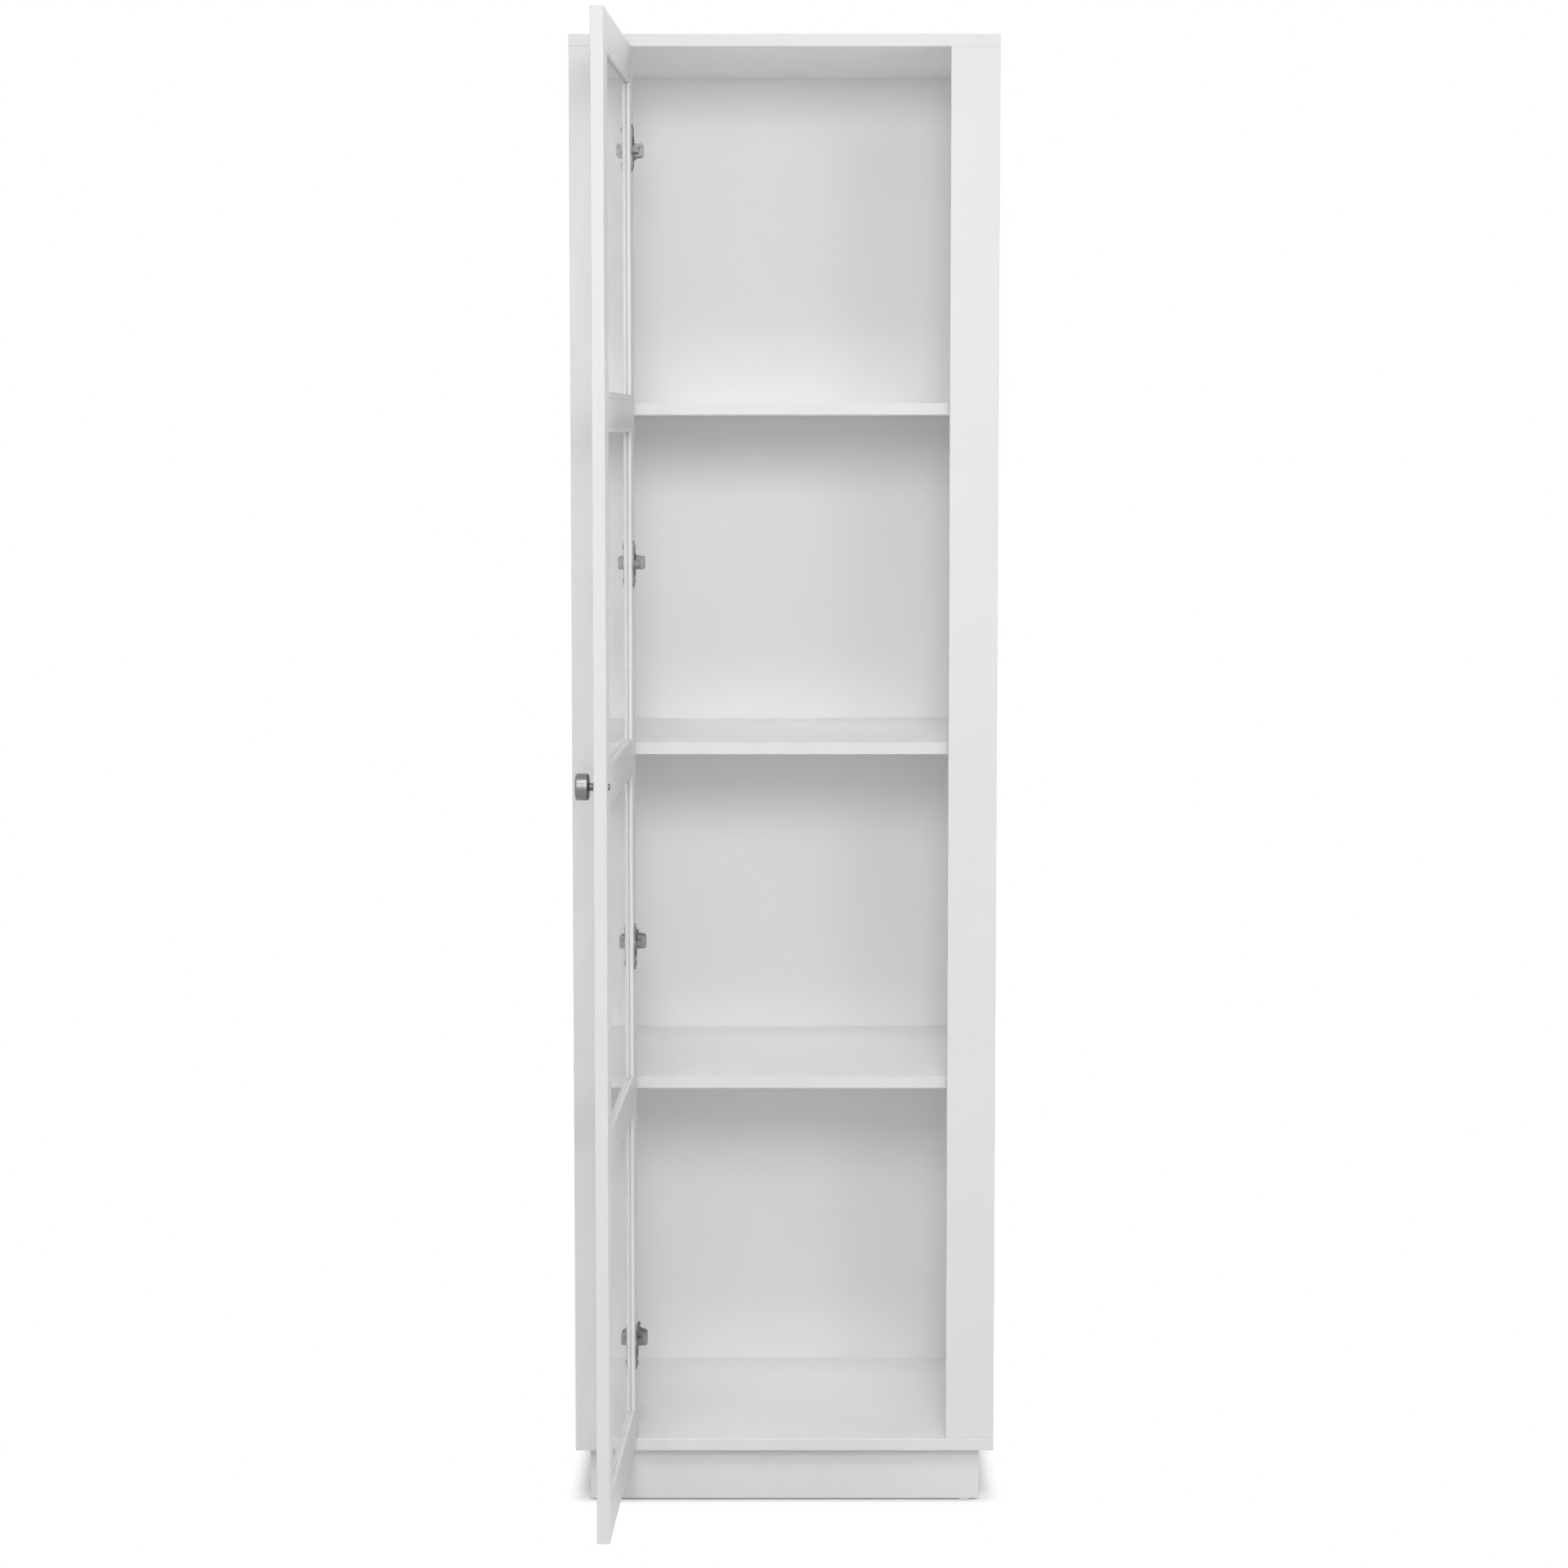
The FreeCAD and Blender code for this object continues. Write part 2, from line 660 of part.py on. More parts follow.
def door_stile(label, side, edge, inner, step):
    # an L-shaped section: the rebate for glass and beads runs the whole length
    body = piece(label)
    pad(body, [(edge, "0"), (inner, "0"), (inner, "shoulder"), (step, "shoulder"), (step, "door_thickness"),
               (edge, "door_thickness")], "door_bottom", "door_top - door_bottom")
    doc.recompute()
    outermost = side * max(side * point.X for point in body.Shape.Vertexes)

    def long_outer_edge(line):
        first, last = line.Vertexes[0], line.Vertexes[-1]
        return abs(first.X - outermost) < 0.01 and abs(first.X - last.X) + abs(first.Y - last.Y) < 0.01
    round_edges(body, "edge_radius", long_outer_edge)
    for level in member_levels:
        for height in both(f"{level} + member_width / 2", "door_dowel_spacing"):
            hole(body, (inner, "shoulder", height), outward[side], "door_dowel_radius", "tenon")
    return body


hinge_stile = door_stile("door_stile_hinge", -1, "door_left", "pane_left", "rebate_left")
for level in hinge_levels:
    bore = ("cup_x", "door_thickness", level)
    bar(hinge_stile, bore, "-y", "cup_radius", "cup_bore_depth", "Subtractive")
    for height in both(level, "cup_screw_spacing"):
        hole(hinge_stile, ("flange_x", "door_thickness", height), "-y", "screw_radius", "screw_length")
hang(hinge_stile)

knob_stile = door_stile("door_stile_knob", 1, "door_right", "pane_right", "rebate_right")
hole(knob_stile, ("knob_x", "0", "door_middle"), "+y", "machine_radius", "door_thickness")
hang(knob_stile)


def door_member(label, level, cut_below, cut_above):
    # front layer between the stiles, back layer with a tongue in each stile's rebate
    body = piece(label)
    block(body, ("pane_left", "0", level), ("pane_right", "shoulder", f"{level} + member_width"))
    low = f"{level} + {cut_below} * rebate_width"
    high = f"{level} + member_width - {cut_above} * rebate_width"
    block(body, ("rebate_left", "shoulder", low), ("rebate_right", "door_thickness", high))
    for height in both(f"{level} + member_width / 2", "door_dowel_spacing"):
        for start, inward in (("rebate_left", "+x"), ("rebate_right", "-x")):
            hole(body, (start, "shoulder", height), inward, "door_dowel_radius", "tenon")
    return body


door_dowels = []
for i, (name, level) in enumerate(zip(member_names, member_levels)):
    hang(door_member(name, level, int(i > 0), int(i < len(pane_names))))
    for height in both(f"{level} + member_width / 2", "door_dowel_spacing"):
        for start in ("pane_left - tenon", "rebate_right - tenon"):
            place = (start, "shoulder", height)
            label = f"door_dowel_{len(door_dowels)}"
            door_dowels.append(rod(label, place, "+x", "door_dowel_radius", "door_dowel_length"))
hang(group("door_dowels", door_dowels))


# ---- glass panes and the beads that hold them ----

upright_beads = []
level_beads = []
lap = "rebate_width - glass_play"
for i, name in enumerate(pane_names):
    low = f"{member_levels[i]} + member_width"
    high = f"{low} + pane_height"
    pane = piece(f"glass_pane_{name}")
    block(pane, (f"pane_left - ({lap})", "shoulder", f"{low} - ({lap})"),
          (f"pane_right + {lap}", "bead_front", f"{high} + {lap}"))
    hang(pane)
    rebate_low, rebate_high = f"{low} - rebate_width", f"{high} + rebate_width"
    for left, right in (("rebate_left", "pane_left"), ("pane_right", "rebate_right")):
        bead = piece(f"upright_bead_{len(upright_beads)}")
        block(bead, (left, "bead_front", rebate_low), (right, "door_thickness", rebate_high))
        upright_beads.append(bead)
    for start, end in ((rebate_low, low), (high, rebate_high)):
        bead = piece(f"level_bead_{len(level_beads)}")
        block(bead, ("pane_left", "bead_front", start), ("pane_right", "door_thickness", end))
        level_beads.append(bead)
hang(group("glazing_beads_upright", upright_beads))
hang(group("glazing_beads_level", level_beads))


# ---- hinges: the half in the door ----

def hinge_cup(label, level):
    body = piece(label)
    bar(body, ("cup_x", "cup_front", level), "+y", "cup_outer", "door_thickness - cup_front")
    bar(body, ("cup_x", "door_thickness", level), "+y", "cup_radius + cup_rim", "flange_thickness")
    half_width = "flange_width / 2"
    block(body, (f"flange_x - {half_width}", "door_thickness", f"{level} - flange_end"),
          (f"flange_x + {half_width}", "flange_top", f"{level} + flange_end"))
    for sign in ("-", "+"):
        place = ("flange_x", "door_thickness", f"{level} {sign} flange_end")
        bar(body, place, "+y", half_width, "flange_thickness")
    inside = ("cup_x", "cup_floor", level)
    bar(body, inside, "+y", "cup_outer - cup_wall", "flange_top - cup_floor", "Subtractive")
    lug = "nose_half + nose_play"
    near, far = "pin_x - lug_inset", "pin_x - lug_inset + lug_length"
    for start, end in (("- lug_end", f"- ({lug})"), (f"+ {lug}", "+ lug_end")):
        block(body, (near, "cup_floor", f"{level} {start}"),
              (far, "cup_floor + lug_height", f"{level} {end}"))
    hole(body, ("pin_x", "pin_y", f"{level} - lug_end"), "+z", "hinge_pin_radius", "2 * lug_end")
    for height in both(level, "cup_screw_spacing"):
        hole(body, ("flange_x", "door_thickness", height), "+y", "screw_radius", "flange_thickness")
    return body


cups = []
hinge_pins = []
cup_screws = []
for i, level in enumerate(hinge_levels):
    cups.append(hinge_cup(f"hinge_cup_{i}", level))
    start = ("pin_x", "pin_y", f"{level} - lug_end")
    hinge_pins.append(rod(f"hinge_pin_{i}", start, "+z", "hinge_pin_radius", "2 * lug_end"))
    for height in both(level, "cup_screw_spacing"):
        place = ("flange_x", "flange_top", height)
        cup_screws.append(screw(f"cup_screw_{len(cup_screws)}", place, "-y", "screw_radius",
                                "flange_thickness + screw_length", "flat_head_radius", "flat_head"))
hang(group("hinge_cups", cups))
hang(group("hinge_pins", hinge_pins))
hang(group("cup_screws", cup_screws))


# ---- knob and its screw ----

knob = piece("knob")
bar(knob, ("knob_x", "0", "door_middle"), "-y", "neck_radius", "neck_length")
bar(knob, ("knob_x", "-neck_length", "door_middle"), "-y", "knob_radius", "knob_thickness")
doc.recompute()
longest = max(edge.Length for edge in knob.Shape.Edges)
round_edges(knob, "knob_rounding", lambda edge: abs(edge.Length - longest) < 0.01)
hole(knob, ("knob_x", "0", "door_middle"), "-y", "machine_radius", "neck_length + knob_thread")
hang(knob)

hang(screw("knob_screw", ("knob_x", "door_thickness", "door_middle"), "-y", "machine_radius",
           "door_thickness + neck_length + knob_thread", "machine_head_radius", "machine_head"))


# ---- check and write ----

doc.recompute()
for thing in doc.Objects:
    if "Invalid" in thing.State or "Error" in thing.State:
        raise RuntimeError(f"{thing.Label} failed: {thing.State}")

os.makedirs("parts", exist_ok=True)
for part in finished:
    shape = part.Shape
    if shape.isNull() or not shape.isValid():
        raise RuntimeError(f"{part.Label} has no valid shape")
    shape.exportStep(f"parts/{part.Label}.step")
    print(f"{part.Label}: {len(shape.Solids)} solids, {shape.Volume / 1000:.2f} cm3")
whole = FreeCAD.BoundBox()
for part in finished:
    whole.add(part.Shape.BoundBox)
print(f"{len(finished)} nodes, {whole}")
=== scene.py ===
import bpy
import bmesh
import json
import math
from mathutils import Matrix, Vector


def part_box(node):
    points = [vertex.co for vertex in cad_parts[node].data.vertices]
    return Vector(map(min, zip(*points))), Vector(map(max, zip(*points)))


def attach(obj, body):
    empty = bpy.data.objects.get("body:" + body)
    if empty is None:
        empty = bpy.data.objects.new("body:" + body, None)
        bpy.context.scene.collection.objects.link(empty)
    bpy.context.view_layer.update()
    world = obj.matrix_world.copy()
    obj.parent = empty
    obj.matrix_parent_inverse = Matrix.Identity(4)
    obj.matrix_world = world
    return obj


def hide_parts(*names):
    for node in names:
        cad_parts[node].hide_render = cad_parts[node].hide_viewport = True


# a tall white lacquered bookcase with one glazed door, standing open on four cup hinges
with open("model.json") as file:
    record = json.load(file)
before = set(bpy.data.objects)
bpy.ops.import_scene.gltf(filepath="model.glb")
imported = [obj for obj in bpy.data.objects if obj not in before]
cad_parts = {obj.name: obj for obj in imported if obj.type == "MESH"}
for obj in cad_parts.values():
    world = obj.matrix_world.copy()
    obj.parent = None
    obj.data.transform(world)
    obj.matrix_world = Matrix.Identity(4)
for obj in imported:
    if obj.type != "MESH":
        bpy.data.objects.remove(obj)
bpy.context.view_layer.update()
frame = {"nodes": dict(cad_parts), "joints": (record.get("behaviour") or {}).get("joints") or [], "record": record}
nodes = frame["nodes"]
scene = bpy.context.scene
mm = 0.001
sameSpot = 1e-6                        # metres: points of a mesh nearer than this are one

# pieces are drawn with the door shut and the front faces at Y 0, then put in their place
hinge = frame["joints"][0]
pinPoint = Vector(hinge["pos_m"])
pinDepth = 6.7 * mm                    # the door's outer face to its hinge pins
openAngle = math.radians(-hinge["range_deg"][0])
shift = pinPoint.y - pinDepth
places = {
    "carcass": Matrix.Translation((0, shift, 0)),
    "door": Matrix.Translation((pinPoint.x, pinPoint.y, 0)) @ Matrix.Rotation(-openAngle, 4, "Z")
            @ Matrix.Translation((-pinPoint.x, -pinDepth, 0)),
}
knobSeat = Vector((194.5 * mm, 0, 1038.5 * mm))     # the middle of the knob's foot on the door's face
knobNeck = 7.7 * mm                                 # from there to the back of its head
print("frame loaded:", len(nodes), "nodes")


# ---- small helpers for nodes, colours and meshes ----

def linear(hexText):
    # an sRGB hex value as linear RGBA
    parts = [int(hexText[i:i + 2], 16) / 255 for i in (1, 3, 5)]
    return [c / 12.92 if c <= 0.04045 else ((c + 0.055) / 1.055) ** 2.4 for c in parts] + [1]


def addNode(tree, kind, inputs=(), **settings):
    # inputs: socket name or number, and a plain value or the output socket to link from
    node = tree.nodes.new(kind)
    for name, value in settings.items():
        setattr(node, name, value)
    for name, value in dict(inputs).items():
        if isinstance(value, bpy.types.NodeSocket):
            tree.links.new(value, node.inputs[name])
        else:
            node.inputs[name].default_value = value
    return node


def newMaterial(name, roughness=0.5, metallic=0, **sockets):
    # a Principled surface, its tree and the piece's own coordinates in metres
    material = bpy.data.materials.new(name)
    material.use_nodes = True
    tree = material.node_tree
    surface = tree.nodes["Principled BSDF"]
    for socket, value in {"Roughness": roughness, "Metallic": metallic, **sockets}.items():
        surface.inputs[socket.replace("_", " ")].default_value = value
    place = addNode(tree, "ShaderNodeTexCoord").outputs["Object"]
    return material, tree, surface, place


def dress(tree, surface, pattern, colours, gloss, relief=None, strength=0.1, depth=0.05 * mm):
    # a pattern from 0 to 1 drives the colour and the roughness, and a relief ripples the surface
    # (sockets 6 and 7 of a mix node are its two colours, and its output 2 is their mix)
    mix = addNode(tree, "ShaderNodeMix", {0: pattern, 6: linear(colours[0]), 7: linear(colours[1])},
                  data_type="RGBA")
    rough = addNode(tree, "ShaderNodeMapRange", {"Value": pattern, "To Min": gloss[0],
                                                 "To Max": gloss[1]})
    bump = addNode(tree, "ShaderNodeBump", {"Height": relief or pattern, "Strength": strength,
                                            "Distance": depth})
    tree.links.new(mix.outputs[2], surface.inputs["Base Color"])
    tree.links.new(rough.outputs[0], surface.inputs["Roughness"])
    tree.links.new(bump.outputs[0], surface.inputs["Normal"])


# ---- materials ----

lacquer = {
    "colours": ("#d7d7d7", "#dddddd"),     # a faint cloudiness from the spray gun
    "gloss": (0.46, 0.38),
    "cloud": 220 * mm,                     # across one cloud
    "peel": 2.2 * mm,                      # a ripple of orange peel, drawn coarser so that it shows
    "fibres": (500, 500, 12),              # the grain of wood under it, per metre across and along
}


def makeLacquer(name, sizes, onWood=False):
    # semi-matt two-part lacquer, sprayed over sanded board: soft highlights with a faint ripple
    material, tree, surface, place = newMaterial(name, Specular_IOR_Level=0.45)
    cloud = addNode(tree, "ShaderNodeTexNoise", {"Vector": place, "Scale": 1 / sizes["cloud"],
                                                 "Detail": 3})
    peel = addNode(tree, "ShaderNodeTexNoise", {"Vector": place, "Scale": 1 / sizes["peel"],
                                                "Detail": 1})
    relief = peel.outputs[0]
    if onWood:                             # the grain shows through the lacquer
        stretched = addNode(tree, "ShaderNodeMapping", {"Vector": place, "Scale": sizes["fibres"]})
        fibres = addNode(tree, "ShaderNodeTexNoise", {"Vector": stretched.outputs[0], "Scale": 1,
                                                      "Detail": 4})
        relief = addNode(tree, "ShaderNodeMath", {0: relief, 1: fibres.outputs[0]}).outputs[0]
    dress(tree, surface, cloud.outputs[0], sizes["colours"], sizes["gloss"], relief, strength=0.12,
          depth=0.06 * mm)
    return material


# painted light: the shelves and the inner faces get a lighter white than the frame's, though they are the same
# lacquer, to lift the shade inside the case; they are also flatter
shadeLiftedLacquer = {**lacquer, "colours": ("#f4f4f4", "#f9f9f9"), "gloss": (0.5, 0.42)}
# painted light: the back board's white is lighter than the frame's, to lift the shade inside the case
backBoard = {
    "colours": ("#f2f2f2", "#f7f7f7"),
    "gloss": (0.55, 0.47),
    "fibre": 0.9 * mm,                     # across one felted fibre, drawn coarser so that it shows
    "cloud": 300 * mm,
}


def makeBackBoard(name, sizes):
    # white lacquered hardboard: flatter than the frame, with the board's felted fibres under the paint
    material, tree, surface, place = newMaterial(name, Specular_IOR_Level=0.4)
    cloud = addNode(tree, "ShaderNodeTexNoise", {"Vector": place, "Scale": 1 / sizes["cloud"],
                                                 "Detail": 4})
    felt = addNode(tree, "ShaderNodeTexNoise", {"Vector": place, "Scale": 1 / sizes["fibre"],
                                                "Detail": 5, "Distortion": 1.5})
    dress(tree, surface, cloud.outputs[0], sizes["colours"], sizes["gloss"], felt.outputs[0],
          strength=0.15)
    return material


def makeBeech(name, flecks=(900, 900, 120)):
    # turned beech: straight pale grain with short dark flecks, about 1 mm wide and 8 mm long
    material, tree, surface, place = newMaterial(name)
    along = addNode(tree, "ShaderNodeMapping", {"Vector": place, "Scale": flecks})     # per metre
    fleck = addNode(tree, "ShaderNodeTexNoise", {"Vector": along.outputs[0], "Scale": 1, "Detail": 5})
    dress(tree, surface, fleck.outputs[0], ("#a87c52", "#c79f74"), (0.7, 0.55), strength=0.3,
          depth=0.1 * mm)
    return material


def makeCastZinc(name, grain=0.5 * mm):
    # die-cast zinc: dull grey with a grainy skin that breaks up every highlight
    material, tree, surface, place = newMaterial(name, metallic=1)
    skin = addNode(tree, "ShaderNodeTexNoise", {"Vector": place, "Scale": 1 / grain, "Detail": 4})
    dress(tree, surface, skin.outputs[0], ("#7d8083", "#97999b"), (0.6, 0.42), strength=0.25,
          depth=0.08 * mm)
    return material


def makePlatedSteel(name, colours, gloss, line=0.6 * mm, streakLength=10 * mm):
    # pressed steel under dull plating: the rolling lines of the sheet show as faint streaks
    material, tree, surface, place = newMaterial(name, metallic=1)
    rolled = addNode(tree, "ShaderNodeMapping", {"Vector": place,
                                                 "Scale": (1 / line, 1 / line, 1 / streakLength)})
    streak = addNode(tree, "ShaderNodeTexNoise", {"Vector": rolled.outputs[0], "Scale": 1,
                                                  "Detail": 4})
    dress(tree, surface, streak.outputs[0], colours, gloss, strength=0.12, depth=0.04 * mm)
    return material


satinNickel = {
    "colours": ("#6e6e6f", "#848485"),
    "gloss": (0.46, 0.34),
    "ring": 0.5 * mm,                      # from one turned ring to the next
    "waveAtOne": 0.3,                      # metres between the rings of a wave texture at scale 1
}


def makeSatinNickel(name, sizes, centre, axisTurn):
    # nickel plate over turned metal, brushed on the lathe: fine rings round the knob's own axis
    material, tree, surface, place = newMaterial(name, metallic=1)
    moved = addNode(tree, "ShaderNodeMapping", {"Vector": place, "Location": centre},
                    vector_type="TEXTURE")
    turned = addNode(tree, "ShaderNodeMapping", {"Vector": moved.outputs[0], "Rotation": axisTurn},
                     vector_type="TEXTURE")
    rings = addNode(tree, "ShaderNodeTexWave", {
        "Vector": turned.outputs[0], "Scale": sizes["waveAtOne"] / sizes["ring"],
        "Distortion": 4, "Detail": 3, "Detail Scale": 2}, wave_type="RINGS", rings_direction="Z")
    dress(tree, surface, rings.outputs["Fac"], sizes["colours"], sizes["gloss"], strength=0.12,
          depth=0.03 * mm)
    return material


def makeNylon(name):
    # moulded nylon: a milky white with an even low gloss and faint flow marks, 3 mm apart
    material, tree, surface, place = newMaterial(name, Subsurface_Weight=0.1,
                                                 Subsurface_Radius=(1 * mm,) * 3)
    flow = addNode(tree, "ShaderNodeTexNoise", {"Vector": place, "Scale": 300, "Detail": 2})
    dress(tree, surface, flow.outputs[0], ("#d9d8d3", "#e6e5e0"), (0.4, 0.3), strength=0.08)
    return material


def makeGlass(name, tint="#f4f7f5"):
    # float glass: clear and polished, with the faint green of iron and long shallow waves, one in
    # 170 mm; the lamps' light passes it freely
    material, tree, surface, place = newMaterial(name, roughness=0, IOR=1.5, Transmission_Weight=1,
                                                 Base_Color=linear(tint))
    roll = addNode(tree, "ShaderNodeTexNoise", {"Vector": place, "Scale": 6, "Detail": 1})
    bump = addNode(tree, "ShaderNodeBump", {"Height": roll.outputs[0], "Strength": 0.02,
                                            "Distance": 0.2 * mm})
    tree.links.new(bump.outputs[0], surface.inputs["Normal"])
    lightPath = addNode(tree, "ShaderNodeLightPath")
    through = addNode(tree, "ShaderNodeBsdfTransparent", {"Color": linear("#f8faf9")})
    both = addNode(tree, "ShaderNodeMixShader", {0: lightPath.outputs["Is Shadow Ray"],
                                                 1: surface.outputs[0], 2: through.outputs[0]})
    tree.links.new(both.outputs[0], tree.nodes["Material Output"].inputs["Surface"])
    return material


knobCentre = places["door"] @ (knobSeat + Vector((0, -knobNeck, 0)))
materials = {
    "white_lacquer": makeLacquer("sprayedWhiteLacquer", lacquer),
    # the frame's lacquer painted lighter, as painted light for the faces inside the case
    "inner_lacquer": makeLacquer("rolledWhiteLacquer", shadeLiftedLacquer),
    "softwood": makeLacquer("lacqueredSoftwood", lacquer, onWood=True),
    "back_board": makeBackBoard("lacqueredHardboard", backBoard),
    "beech": makeBeech("turnedBeech"),
    "zinc_casting": makeCastZinc("dieCastZinc"),
    "nickel_steel": makePlatedSteel("nickelPlatedSteel", ("#7e7e7e", "#989897"), (0.62, 0.5)),
    "screw_steel": makePlatedSteel("zincPlatedSteel", ("#6c6d6f", "#838487"), (0.46, 0.34)),
    "knob_nickel": makeSatinNickel("satinNickel", satinNickel, knobCentre,
                                   (math.pi / 2, 0, -openAngle)),
    "white_plastic": makeNylon("mouldedNylon"),
    "clear_glass": makeGlass("floatGlass"),
}

slotOf = {
    "back_board": ["back_panel"],
    "beech": ["carcass_dowels", "stile_dowels", "plinth_dowels", "door_dowels"],
    "softwood": ["hinge_blocks", "plinth_corner_blocks"],
    "zinc_casting": ["cam_housings"],
    "nickel_steel": ["hinge_cups", "hinge_arms", "hinge_mounting_plates", "shelf_pins"],
    "screw_steel": ["hinge_pins", "cam_bolts", "plate_screws", "arm_screws", "cup_screws",
                    "knob_screw"],
    "knob_nickel": ["knob"],
    "white_plastic": ["foot_glides"],
    "clear_glass": [name for name in nodes if name.startswith("glass_pane")],
}
slots = {name: slot for slot, names in slotOf.items() for name in names}


def slotFor(node):
    return slots.get(node, "white_lacquer")


bodies = frame["record"]["behaviour"]["bodies"]
bodyOf = {name: body for body, names in bodies.items() for name in names}
for name, thing in nodes.items():
    thing.material_slots[0].material = materials[slotFor(name)]
print("materials made:", len(materials))


# ---- pieces ----

smoothing = {"board": 40, "hardware": 35, "knob": 60}     # edges up to this many degrees look smooth


def finishPiece(name, mesh, body, slot, stands=(), smoothAngle=smoothing["board"]):
    # a finished mesh in the frame's own place becomes a piece, for the CAD nodes that it stands for
    mesh.materials.clear()
    mesh.materials.append(materials[slot])
    mesh.shade_smooth()
    mesh.set_sharp_from_angle(angle=math.radians(smoothAngle))
    thing = bpy.data.objects.new(name, mesh)
    scene.collection.objects.link(thing)
    thing.modifiers.new("evenNormals", "WEIGHTED_NORMAL").keep_sharp = True
    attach(thing, body)
    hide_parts(*stands)
    return thing


def mergedCopy(node):
    # the CAD mesh with its doubles merged
    shape = bmesh.new()
    shape.from_mesh(nodes[node].data)
    bmesh.ops.remove_doubles(shape, verts=shape.verts, dist=sameSpot)
    return shape


def toMesh(shape, name):
    mesh = bpy.data.meshes.new(name)
    shape.to_mesh(mesh)
    shape.free()
    return mesh


arrises = {
    "board": 0.7 * mm,                 # sanded edges under the lacquer
    "member": 0.6 * mm,
    "bead": 1.1 * mm,
    "steel": 0.35 * mm,                # pressed and cast edges
    "shortest": 12 * mm,               # edges shorter than this stay sharp
    "shortestSteel": 1.2 * mm,
    "corner": math.radians(35),        # and so do edges flatter than this
    "flat": math.radians(1),           # up to this the faces of a CAD mesh are one
    "segments": 3,
}


def arrised(node, radius, shortest=arrises["shortest"]):
    # a copy of a CAD node with every long outer edge softened
    shape = mergedCopy(node)
    bmesh.ops.dissolve_limit(shape, angle_limit=arrises["flat"], verts=shape.verts, edges=shape.edges)
    edges = [edge for edge in shape.edges if edge.calc_length() > shortest and edge.is_convex
             and edge.calc_face_angle(0) > arrises["corner"]]
    bmesh.ops.bevel(shape, geom=edges, offset=radius, offset_type="OFFSET",
                    segments=arrises["segments"], profile=0.5, affect="EDGES", clamp_overlap=True)
    words = node.split("_")
    name = words[0] + "".join(word.capitalize() for word in words[1:])
    return finishPiece(name, toMesh(shape, name), bodyOf[node], slotFor(node), [node])


boards = [name for name in bodies["carcass"] if slotFor(name) == "white_lacquer"]
inward = {"side_panel_left": (1, 0, 0), "side_panel_right": (-1, 0, 0), "bottom_panel": (0, 0, 1),
          "top_panel": (0, 0, -1)}     # where the inner face of each panel looks


def isInnerFace(name, normal):
    # a shelf has the lighter painted-light white all round, but for its front edge, which keeps the frame's white
    if name in inward:
        return normal.dot(Vector(inward[name])) > 0.5
    return name.startswith("shelf") and normal.y > -0.5


# painted light: the inner faces of the panels and the shelves take the lighter white, and the outer faces and
# front edges keep the frame's
for name in boards + ["hinge_blocks", "plinth_corner_blocks"]:
    board = arrised(name, arrises["board"])
    if name in inward or name.startswith("shelf"):
        board.data.materials.append(materials["inner_lacquer"])
        for face in board.data.polygons:
            face.material_index = int(isInnerFace(name, face.normal))
print("carcass boards:", len(boards))

doorMembers = [name for name in bodies["door"] if name.startswith("door_") and name != "door_dowels"]
for name in doorMembers:
    arrised(name, arrises["member"])
for name in ("glazing_beads_upright", "glazing_beads_level"):
    arrised(name, arrises["bead"])
print("door members:", len(doorMembers))

for name in ("hinge_cups", "hinge_arms", "hinge_mounting_plates"):
    arrised(name, arrises["steel"], shortest=arrises["shortestSteel"])
print("hinges")


# ---- the knob, turned on a lathe ----

knob = {
    "neck": 5.2 * mm,                  # radii of the neck, its waist and the head
    "waist": 4.7 * mm,
    "head": 16.5 * mm,
    "neckLength": knobNeck,
    "foot": 0.6 * mm,                  # the straight foot against the door
    "waistFrom": 0.9 * mm,             # where the waist starts, and how far below the head it ends
    "waistShort": 0.6 * mm,
    "waistSteps": 6,
    "shoulder": 0.5 * mm,              # the flare under the head
    "thick": 16.7 * mm,
    "rounding": 2.4 * mm,
    "dome": 0.5 * mm,
    "domeSteps": 8,
    "around": 96,
}


def turned(profile, around):
    # a solid of revolution about Z from (radius, height) points that start and end on the axis
    shape = bmesh.new()
    points = [shape.verts.new((radius, 0, height)) for radius, height in profile]
    edges = [shape.edges.new(pair) for pair in zip(points, points[1:])]
    bmesh.ops.spin(shape, geom=points + edges, cent=(0, 0, 0), axis=(0, 0, 1), angle=2 * math.pi,
                   steps=around)
    bmesh.ops.remove_doubles(shape, verts=shape.verts, dist=sameSpot)
    bmesh.ops.recalc_face_normals(shape, faces=shape.faces)
    return shape


def quarter(centreRadius, centreHeight, size, start, steps=8):
    # points of a quarter round, going up from the angle start
    angles = [math.radians(start + 90 * i / steps) for i in range(steps + 1)]
    return [(centreRadius + size * math.cos(a), centreHeight + size * math.sin(a)) for a in angles]


